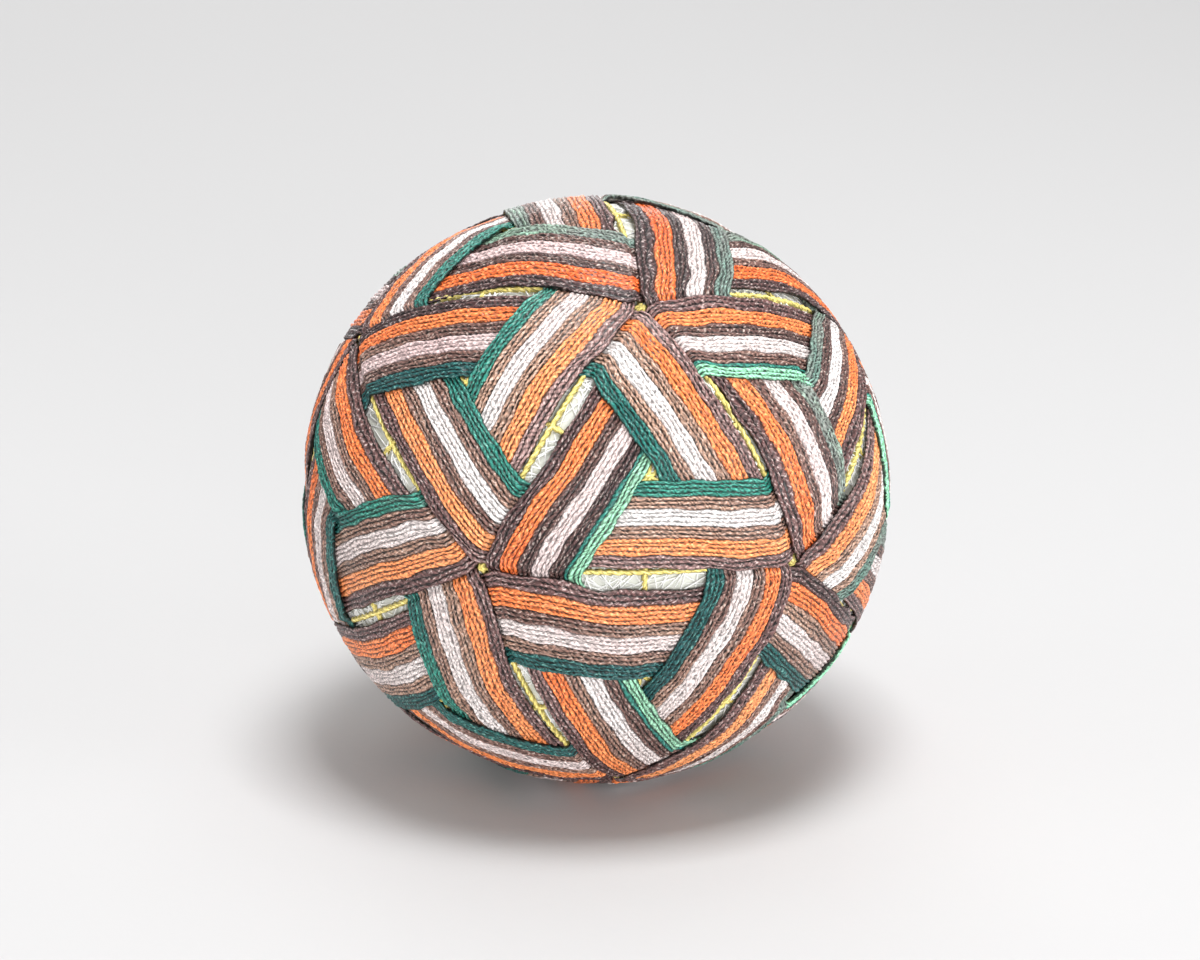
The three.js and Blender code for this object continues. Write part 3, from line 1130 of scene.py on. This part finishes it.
        # Each side's shift is partly dyeing and partly painted light and shade of that side.
        for own in self.dyes.sides:
            shift[names.index(own.side)] = np.where(green, own.green, own.shift)
        side, along = np.divmod(turn * SIDES, 1)
        side = side.astype(int) % SIDES
        near, far = self.hidden
        changed = ease((along - near) / (far - near))[:, None]
        value = value + shift[side - 1] * (1 - changed) + shift[side] * changed
        spread = np.where(green, self.dyes.green_drift, self.dye_spread)
        slow = self.slow_dye.draw(rng, turn, len(self.rows))[:, stripe]
        quick = self.quick_dye.draw(rng, turn, len(stripe))
        return np.clip(value + spread * (slow + quick), 0, 1)

    def build(self) -> MeshParts:
        """Work out the whole band as one closed relief.

        The surface is a grid of steps round the pentagon by columns across the band. Rows wander a little,
        as hand-laid thread does. The last edge and the columns underneath take a row's colour too.

        Returns:
            The band's mesh.
        """
        rng = np.random.default_rng(self.seed)
        total = self.total
        steps = self._steps()
        run, loop = self._runs(steps)
        turns = np.round(loop / self.thread.pitch)
        phase = TURN * turns * run / loop + rng.uniform(0, TURN, total)
        phase += self.slow_twist.draw(rng, steps.turn, total) + self.quick_twist.draw(rng, steps.turn, total)
        columns, height = self._relief(rng, steps.turn, phase)
        points, radius = self._lay(rng, columns, steps)
        places = self.sizes.place(points, np.minimum(radius + height, self.sizes.floor_reach(points)))

        row = np.concatenate([np.repeat(np.arange(total), ROW_COLUMNS), [total - 1, total // 2, 0]])
        stripe = np.repeat(np.arange(len(self.rows)), self.rows)
        dye = self._dye(rng, np.append(steps.turn, 1), stripe)[:, row]
        u = step_corners(np.concatenate([run, loop[None]], 0)[:, row])
        sideways = np.append(columns[0], columns[0, 0]) * self.pitch
        v = np.broadcast_to(column_corners(sideways[:-1], sideways[1:]), u.shape)
        return MeshParts(
            places.reshape(-1, 3),
            grid_quads(*columns.shape).reshape(-1, 4),
            np.tile(stripe[row], len(columns)),
            step_corners(dye).reshape(-1, 4),
            np.stack([u, v], -1).reshape(-1, 4, 2),
            self._ply(np.concatenate([phase, phase[:1] + TURN * turns], 0)[:, row]),
        )

    def dress(self, palette: ThreadPalette) -> bpy.types.Object:
        """Make the piece and give it its threads.

        Args:
            palette: the dyed threads.

        Returns:
            The band, riding on the ball.
        """
        piece = self.build().make(f"woven_band_{self.name}", palette.slots())
        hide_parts(f"band_{self.name}")
        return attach(piece, BODY)


@dataclass(frozen=True)
class Strand:
    """Builds thin threads that lie on the ball. Each face counts as face_mm round the thread."""

    sides: int
    face_mm: float = 0.3

    def tubes(self, points: np.ndarray, radius: np.ndarray, across: np.ndarray, sizes: BallSizes,
              outline: np.ndarray, run: np.ndarray, phase: np.ndarray) -> MeshParts:
        """Carry a section along paths on the ball.

        Each section point is the path point plus outline times (cos of its angle sideways and sin of it
        outward).

        Args:
            points: unit vectors of the paths, paths by steps by three.
            radius: radius of the path from the ball's middle, paths by steps.
            across: unit vectors sideways, paths by steps by three.
            sizes: layers of the ball.
            outline: section radius, paths by steps by sides.
            run: distance along each path in millimetres, paths by steps.
            phase: turn of the plies, paths by steps.

        Returns:
            One mesh of all the threads.
        """
        paths, steps = radius.shape
        angle = TURN * np.arange(self.sides) / self.sides
        beside = outline * np.cos(angle)
        ring = points[..., None, :] * (radius[..., None] + outline * np.sin(angle))[..., None]
        ring = ring + across[..., None, :] * beside[..., None]
        places = (ring + np.array([0, 0, sizes.rest_height])) * MM
        one = grid_quads(steps, self.sides, loop=False)[..., [0, 3, 2, 1]]
        quads = np.arange(paths)[:, None, None, None] * steps * self.sides + one
        along = np.broadcast_to(run[..., None], outline.shape)
        turn = np.broadcast_to(phase[..., None], outline.shape) / TURN

        def corners(values: np.ndarray) -> np.ndarray:
            """Values of each path, step and side at the four corners of each face."""
            return values.ravel()[quads]

        j = np.arange(self.sides)
        v = np.broadcast_to(np.stack([j, j + 1, j + 1, j], -1) * self.face_mm, quads.shape)
        return MeshParts(places.reshape(-1, 3), quads.reshape(-1, 4),
                         uv=np.stack([corners(along), v], -1).reshape(-1, 4, 2),
                         ply=np.stack([corners(turn), corners(beside)], -1).reshape(-1, 4, 2))


@dataclass
class WoundCore:
    """The stuffed ball, wound in every direction with fine white thread that shows between the bands."""

    poles: PoleMap
    sizes: BallSizes = BallSizes()
    finish: WindingThread = WindingThread()
    seed: int = 7
    rows: int = 44
    cap_angle: float = 0.01
    turns_per_gap: int = 44
    turns_per_hole: int = 8
    gap_mm: float = 18.0
    gap_width_mm: float = 3.4
    hole_mm: float = 0.8
    thread_mm: float = 0.22
    thread_tip: float = 0.05
    thread_sides: int = 3
    thread_steps: int = 7
    reach_mm: tuple[float, float] = (2.2, 4.6)
    level_mm: tuple[float, float] = (0.06, 0.4)
    bow_mm: float = 0.25
    pressed_mm: float = 0.3

    def _ground(self) -> MeshParts:
        """The ball beneath the turns: a sphere of latitudes and longitudes, pressed level underneath.

        Returns:
            A closed mesh, with fans of faces round its lowest and highest point.
        """
        count = 2 * self.rows
        latitude = np.linspace(-math.pi / 2 + self.cap_angle, math.pi / 2 - self.cap_angle, self.rows)
        lat, lon = np.meshgrid(latitude, TURN * np.arange(count) / count, indexing="ij")
        points = np.stack([np.cos(lat) * np.cos(lon), np.cos(lat) * np.sin(lon), np.sin(lat)], -1)
        radius = np.minimum(self.sizes.core_radius, self.sizes.floor_reach(points) - self.sizes.pressed_core)
        places = self.sizes.place(points, radius)
        ends = self.sizes.place(np.array([[0, 0, -1.0], [0, 0, 1.0]]),
                                np.array([self.sizes.rest_height - self.sizes.pressed_core,
                                          self.sizes.core_radius]))
        quads = grid_quads(self.rows, count, loop=False)[..., [0, 3, 2, 1]]
        pair = np.arange(0, count, 2)
        south, north = self.rows * count, self.rows * count + 1
        top = (self.rows - 1) * count
        caps = np.concatenate([
            np.stack([np.full_like(pair, south), (pair + 2) % count, pair + 1, pair], -1),
            np.stack([np.full_like(pair, north), top + pair, top + pair + 1, top + (pair + 2) % count], -1),
        ])
        faces = np.concatenate([quads.reshape(-1, 4), caps])
        return MeshParts(np.concatenate([places.reshape(-1, 3), ends]), faces, dye=np.zeros(faces.shape))

    def _turns(self) -> MeshParts:
        """Short stretches of wound thread where the bands leave the core in sight.

        Each stretch is an arc through a chance point of a gap or hole, in a chance direction, and bows
        outward by the square of its share of the way. Its ends are drawn to a point.

        Returns:
            One mesh of all the stretches.
        """
        rng = np.random.default_rng(self.seed)
        places = self.poles.places
        pairs = [(places[a], places[b]) for a, b in self.poles.pairs()]
        holes = [unit(places[a] + places[b] + places[c]) for a, b, c in self.poles.faces()]
        holes += list(places.values())
        size = self.sizes.core_radius
        middles = np.repeat([unit(a + b) for a, b in pairs], self.turns_per_gap, 0)
        lines = np.repeat([unit(b - a) for a, b in pairs], self.turns_per_gap, 0)
        lengthwise = rng.uniform(-0.5, 0.5, len(middles)) * self.gap_mm / size
        sideways = rng.uniform(-0.5, 0.5, len(middles)) * self.gap_width_mm / size
        normals = np.cross(middles, lines)
        centres = unit(middles + lines * lengthwise[:, None] + normals * sideways[:, None])
        extra = np.repeat(holes, self.turns_per_hole, 0)
        shake = rng.normal(0, self.hole_mm / size, extra.shape)
        centres = np.concatenate([centres, unit(extra + shake)])
        heading = unit(rng.normal(size=centres.shape))
        heading = unit(heading - centres * (heading * centres).sum(-1, keepdims=True))
        reach = rng.uniform(*self.reach_mm, len(centres))[:, None] / size
        t = np.linspace(-1, 1, self.thread_steps)
        angle = reach * t
        points = centres[:, None] * np.cos(angle)[..., None] + heading[:, None] * np.sin(angle)[..., None]
        across = np.broadcast_to(np.cross(centres, heading)[:, None], points.shape)
        level = size + rng.uniform(*self.level_mm, len(centres))[:, None] - self.bow_mm * t ** 2
        floor = self.sizes.floor_reach(points) - self.sizes.pressed_core + self.pressed_mm
        level = np.minimum(level, floor)
        thick = self.thread_mm / 2 * np.where(np.abs(t) < 1, 1, self.thread_tip)
        outline = np.broadcast_to(thick[None, :, None], (*level.shape, self.thread_sides))
        run = (angle + reach) * size
        turns = Strand(self.thread_sides).tubes(points, level, across, self.sizes, outline, run, run)
        # The turns are white; the core beneath, at zero, takes the painted shade between them.
        turns.dye[:] = 1
        return turns

    def dress(self) -> bpy.types.Object:
        """Make the core with its turns of thread.

        Returns:
            The core, riding on the ball.
        """
        piece = MeshParts.joined([self._ground(), self._turns()]).make("wound_core", [self.finish.build()])
        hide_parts("mari")
        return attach(piece, BODY)


@dataclass(frozen=True)
class Lean:
    """A marking line pushed toward the pole on one side of its gap, in millimetres."""

    first: str
    second: str
    toward: str
    reach: float


@dataclass
class MarkingThreads:
    """Yellow threads that mark the ball: a line between neighbouring poles and cross lines over the gaps.

    Shares are of the arc between two poles, and levels are millimetres out from the ball's middle.
    """

    poles: PoleMap
    nodes: list[str]
    sizes: BallSizes = BallSizes()
    thread: TwoPly = TwoPly(0.33, 0.14, 2.6)
    # The yellow thread's third value is the colour of its painted glints, and its shade values paint shade
    # between the plies and a highlight on their crests.
    finish: PearlCotton = PearlCotton("pearl_cotton_yellow", ("ecd05c", "f8e482", "fbf0ac"), "fffbe0",
                                      TwoPly(0.33, 0.14), groove_shade=0.6, crest_highlight=1.15)
    seed: int = 11
    sides: int = 6
    tip_mm: float = 0.01
    start_turn: float = 1.7
    pressed_mm: float = 1.4
    open_share: tuple[float, float] = (0.308, 0.692)
    open_steps: int = 76
    covered_steps: int = 7
    gap_level: float = 38.55
    covered_level: float = 38.0
    pole_level: float = 39.1
    pole_share: float = 0.03
    rise_share: float = 0.03
    bow_from: float = 0.15
    bow_span: float = 0.12
    chance_lean: float = 0.6
    leans: tuple[Lean, ...] = (
        Lean("front_left", "front_right", "crown", 0.65),
        Lean("crown", "front_left", "left", 0.75),
        Lean("front_left", "low_front", "low_left", 0.6),
        Lean("front_right", "low_front", "low_right", 0.5),
        Lean("left", "front_left", "crown", 0.25),
        Lean("crown", "front_right", "right", 0.7),
    )
    cross_mm: float = 2.4
    cross_steps: int = 13
    cross_drop: float = 0.12
    cross_bow: float = 0.2

    def _tubes(self, points: np.ndarray, level: np.ndarray, across: np.ndarray) -> MeshParts:
        """Twist a two-ply thread along paths, with both ends drawn to a point.

        Args:
            points: unit vectors of the paths, paths by steps by three.
            level: radius of each path from the ball's middle, paths by steps.
            across: unit vectors sideways, paths by steps by three.

        Returns:
            One mesh of all the threads.
        """
        level = np.minimum(level, self.sizes.floor_reach(points) - self.pressed_mm)
        gaps = np.linalg.norm(np.diff(points * level[..., None], axis=1), axis=-1)
        run = np.concatenate([np.zeros((len(points), 1)), np.cumsum(gaps, 1)], 1)
        angle = TURN * np.arange(self.sides) / self.sides
        phase = TURN * run / self.thread.pitch + np.arange(len(points))[:, None] * self.start_turn
        outline = self.thread.outline(angle, phase[..., None])
        outline[:, [0, -1]] = self.tip_mm
        return Strand(self.sides).tubes(points, level, across, self.sizes, outline, run, phase)

    def _lines(self) -> MeshParts:
        """Threads from pole to pole: low beneath the bands, a little higher in the gap and at the poles.

        Each leans to one side of its gap, as the stitched bands push it.

        Returns:
            One mesh of all the lines.
        """
        near, far = self.open_share
        pole = np.linspace(0, self.pole_share, self.covered_steps, endpoint=False)
        side = np.linspace(self.pole_share, near, self.covered_steps, endpoint=False)
        gap = np.linspace(near, far, self.open_steps)
        share = np.concatenate([pole, side, gap, 1 - side[::-1], 1 - pole[::-1]])
        pairs = self.poles.pairs()
        start = np.array([self.poles.places[a] for a, _ in pairs])
        end = np.array([self.poles.places[b] for _, b in pairs])
        points = arc(start[:, None], end[:, None], np.broadcast_to(share, (len(pairs), len(share))))
        across = np.broadcast_to(circle_normal(start, end)[:, None], points.shape)
        lean = self._pull(pairs, across[:, 0])
        bow = ease((share - self.bow_from) / self.bow_span)
        bow = bow * ease((1 - self.bow_from - share) / self.bow_span)
        points = unit(points + across * (lean[:, None] * bow / self.gap_level)[..., None])
        rise = self.rise_share
        inside = ease((share - near + rise) / rise) * ease((far + rise - share) / rise)
        knot = 1 - ease(np.minimum(share, 1 - share) / self.pole_share)
        level = self.covered_level + (self.gap_level - self.covered_level) * inside
        level = level + (self.pole_level - self.covered_level) * knot
        return self._tubes(points, np.broadcast_to(level, points.shape[:2]), across)

    def _pull(self, pairs: list[tuple[str, str]], across: np.ndarray) -> np.ndarray:
        """How far each line leans along its sideways vector: as listed, or else by a small chance amount.

        Args:
            pairs: the two poles of each line.
            across: sideways unit vector of each line.

        Returns:
            Millimetres for each line.
        """
        pull = np.random.default_rng(self.seed).uniform(-self.chance_lean, self.chance_lean, len(pairs))
        for lean in self.leans:
            k = next(k for k, pair in enumerate(pairs) if set(pair) == {lean.first, lean.second})
            pull[k] = lean.reach * np.sign(across[k] @ self.poles.places[lean.toward])
        return pull

    def _crossings(self) -> MeshParts:
        """Short threads over the middle of each gap, and three through the middle of each triangle.

        Returns:
            One mesh of all the short threads.
        """
        places = self.poles.places
        middles, headings = [], []
        for a, b in self.poles.pairs():
            middles.append(unit(places[a] + places[b]))
            headings.append(circle_normal(places[a], places[b]))
        for names in self.poles.faces():
            centre = unit(sum(places[n] for n in names))
            for n in names:
                middles.append(centre)
                headings.append(unit(places[n] - centre * (places[n] @ centre)))
        centres, headings = np.array(middles), np.array(headings)
        angle = np.linspace(-self.cross_mm, self.cross_mm, self.cross_steps) / self.gap_level
        points = centres[:, None] * np.cos(angle)[:, None] + headings[:, None] * np.sin(angle)[:, None]
        across = np.broadcast_to(np.cross(centres, headings)[:, None], points.shape)
        level = self.gap_level - self.cross_drop - self.cross_bow * (angle / angle[-1]) ** 2
        return self._tubes(points, np.broadcast_to(level, points.shape[:2]), across)

    def dress(self) -> bpy.types.Object:
        """Make all the marking threads as one piece.

        Returns:
            The threads, riding on the ball.
        """
        mesh = MeshParts.joined([self._lines(), self._crossings()])
        piece = mesh.make("marking_threads", [self.finish.build()])
        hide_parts(*self.nodes)
        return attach(piece, BODY)


@dataclass(frozen=True)
class Lamp:
    """A square soft light that faces the ball: its place, the length of its side in metres, and its watts."""

    name: str
    place: tuple[float, float, float]
    size: float
    watts: float

    def stand(self, aim: float) -> None:
        """Put the light in the scene, turned to a point above the origin.

        Args:
            aim: height of that point.
        """
        data = bpy.data.lights.new(self.name, "AREA")
        data.size = self.size
        data.energy = self.watts
        lamp = bpy.data.objects.new(self.name, data)
        lamp.location = self.place
        x, y, z = self.place
        lamp.rotation_euler = (math.atan2(math.hypot(x, y), z - aim), 0, math.atan2(y, x) + math.pi / 2)
        bpy.context.scene.collection.objects.link(lamp)


@dataclass
class Studio:
    """A pale floor, soft light and the camera at the photo's angle. Lengths are in metres."""

    sizes: BallSizes = BallSizes()
    paper: StudioPaper = StudioPaper()
    floor_half: float = 3.0
    floor_points: int = 13
    elevation: float = 18.5
    lens_mm: float = 135.0
    sensor_mm: float = 36.0
    nearest: float = 0.01
    ball_px: tuple[float, float] = (596.0, 489.5)
    ball_radius_px: float = 294.5
    sky: str = "f7f5f2"
    sky_strength: float = 0.36
    lamps: tuple[Lamp, ...] = (
        Lamp("key", (0.06, -0.15, 0.84), 0.3, 6.0),
        Lamp("top", (0.05, 0.5, 0.95), 0.9, 2.8),
        Lamp("front", (0.25, -1.15, 0.14), 0.5, 9.2),
        Lamp("right", (0.9, -0.45, 0.18), 0.4, 4.2),
        Lamp("left", (-0.95, -0.25, 0.1), 0.4, 2.2),
        Lamp("back", (-0.2, 1.15, 0.3), 0.5, 2.6),
    )

    def floor(self) -> None:
        """Lay a wide flat floor at the ball's foot."""
        grid = np.linspace(-self.floor_half, self.floor_half, self.floor_points)
        x, y = np.meshgrid(grid, grid, indexing="ij")
        points = np.stack([x, y, np.zeros_like(x)], -1).reshape(-1, 3)
        quads = grid_quads(self.floor_points, self.floor_points, loop=False, ring=False).reshape(-1, 4)
        piece = MeshParts(points, quads).make("floor", [self.paper.build()])

    def camera(self) -> None:
        """Put the camera at the photo's elevation, shifted so that the ball sits as in the frame.

        The distance is the one at which the ball's outline has its radius in the frame.
        """
        focal_px = self.lens_mm / self.sensor_mm * IMAGE_WIDTH
        radius = (self.sizes.high_row + TwoPly().crest) * MM
        distance = radius * math.sqrt((focal_px / self.ball_radius_px) ** 2 + 1)
        e = math.radians(self.elevation)
        data = bpy.data.cameras.new("camera")
        data.lens = self.lens_mm
        data.sensor_width = self.sensor_mm
        data.shift_x = (IMAGE_WIDTH / 2 - self.ball_px[0]) / IMAGE_WIDTH
        data.shift_y = (self.ball_px[1] - IMAGE_HEIGHT / 2) / IMAGE_WIDTH
        data.clip_start = self.nearest
        camera = bpy.data.objects.new("camera", data)
        camera.location = (0, -distance * math.cos(e), self.sizes.rest_height * MM + distance * math.sin(e))
        camera.rotation_euler = (math.pi / 2 - e, 0, 0)
        bpy.context.scene.collection.objects.link(camera)
        bpy.context.scene.camera = camera

    def set_up(self) -> None:
        """Make the whole stage."""
        self.floor()
        self.camera()
        for lamp in self.lamps:
            lamp.stand(self.sizes.rest_height * MM)
        world = bpy.data.worlds.new("studio")
        world.use_nodes = True
        sky = world.node_tree.nodes["Background"]
        sky.inputs["Color"].default_value = hex_colour(self.sky)
        sky.inputs["Strength"].default_value = self.sky_strength
        bpy.context.scene.world = world
        bpy.context.scene.view_settings.view_transform = "Standard"


FIRST_BAND_SEED = 101
DYES = {
    "crown": BandDyes(green=0.36, green_drift=0.06, brown=0.56, outer_brown=0.5, orange=0.66, white=0.9,
                      sides=(SideDyeAndShade("left", 0.1, 0.03), SideDyeAndShade("front_left", 0.22, 0.12),
                             SideDyeAndShade("front_right", -0.2, 0.38), SideDyeAndShade("right", -0.15, 0.36))),
    "front_left": BandDyes(green=0.12, green_drift=0.06, brown=0.68, outer_brown=0.44,
                           sides=(SideDyeAndShade("front_right", 0.22, 0.16), SideDyeAndShade("crown", -0.3, -0.12))),
    "front_right": BandDyes(green=1.0, green_drift=0.03, first_green=0.45, brown=0.3, outer_brown=0.42,
                            orange=0.45, white=0.6,
                            sides=(SideDyeAndShade("crown", -0.13, -0.07), SideDyeAndShade("front_left", 0.17, -0.05))),
    "left": BandDyes(green=0.4, green_drift=0.12, brown=0.68, outer_brown=0.5, orange=0.48, white=0.5,
                     sides=(SideDyeAndShade("low_left", 0.14, 0.0), SideDyeAndShade("front_left", 0.28, 0.12),
                            SideDyeAndShade("crown", -0.1, 0.35))),
    "right": BandDyes(green=0.74, green_drift=0.05, brown=0.34, orange=0.55, white=0.75,
                      sides=(SideDyeAndShade("top_back", -0.34, -0.02), SideDyeAndShade("crown", 0.0, 0.03))),
    "low_front": BandDyes(green=0.1, brown=0.72, orange=0.4, white=0.5,
                          sides=(SideDyeAndShade("front_left", 0.15, 0.0),)),
    "top_back": BandDyes(green=0.75, green_drift=0.05, brown=0.35, outer_brown=0.12, orange=0.2, white=0.35,
                         sides=(SideDyeAndShade("left", -0.2, 0.0),)),
    "low_left": BandDyes(green=0.28, green_drift=0.12, brown=0.7, outer_brown=0.42, orange=0.45, white=0.4,
                         sides=(SideDyeAndShade("low_front", 0.18, 0.0),)),
    "low_right": BandDyes(green=0.66, green_drift=0.1, orange=0.72, white=0.85,
                          sides=(SideDyeAndShade("right", 0.3, 0.08),)),
    "back_left": BandDyes(green=0.97, green_drift=0.04, first_green=0.3, brown=0.5),
    "back_right": BandDyes(green=0.3, green_drift=0.12),
    "low_back": BandDyes(green=0.7, brown=0.4),
}


def main() -> None:
    """Build the ball piece by piece, then the stage, and note the sizes."""
    logging.basicConfig(level=logging.INFO, format="%(name)s: %(message)s")
    poles = PoleMap()
    palette = ThreadPalette()
    pieces = [WoundCore(poles).dress()]
    markings = sorted(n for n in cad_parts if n.startswith("marking_thread_"))
    pieces.append(MarkingThreads(poles, markings).dress())
    for seed, (name, dyes) in enumerate(DYES.items(), FIRST_BAND_SEED):
        pieces.append(PentagonBand(name, poles, dyes, seed).dress(palette))
    for piece in pieces:
        LOG.info("%s: %d faces", piece.name, len(piece.data.polygons))
    Studio().set_up()


if __name__ == "__main__":
    main()
